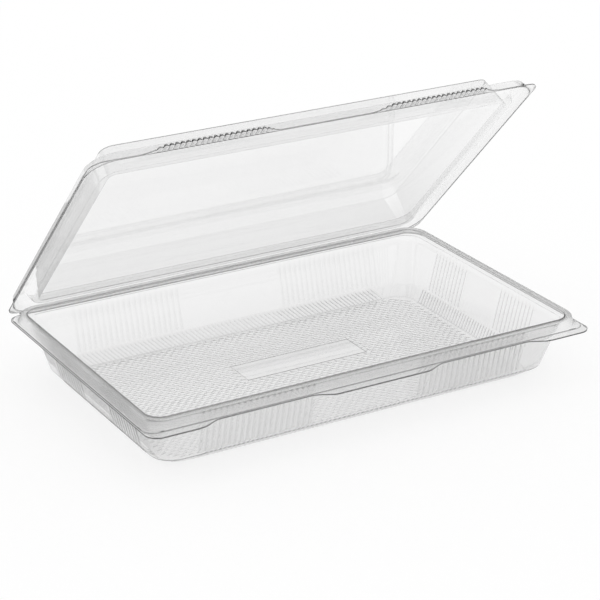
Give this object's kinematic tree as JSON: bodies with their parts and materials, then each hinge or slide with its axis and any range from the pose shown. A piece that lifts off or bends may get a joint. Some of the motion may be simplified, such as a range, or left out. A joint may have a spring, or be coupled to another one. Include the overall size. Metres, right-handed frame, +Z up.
{
  "type": "plastic clamshell pack",
  "caption": "Clear hinged clamshell food pack: shallow fluted tray with a raised rim, and a domed lid on a living hinge, with finger tabs along the front edge.",
  "frame": {"origin": "centre of the tray's flat underside", "axes": "+X along the hinge, +Y from the front edge towards the hinge at the back, +Z up out of the tray"},
  "size_m": [0.2604, 0.1733, 0.1539],
  "materials": {
    "clear_sheet": "clear, colourless, glossy thermoformed sheet"
  },
  "bodies": {
    "tray": {"tray": "clear_sheet"},
    "lid": {"lid": "clear_sheet"}
  },
  "joints": [
    {"name": "lid_hinge", "type": "hinge", "parent": "tray", "child": "lid", "pos_m": [0, 0.0834, 0.03], "axis": [-1, 0, 0], "range_deg": [-46, 134]}
  ]
}
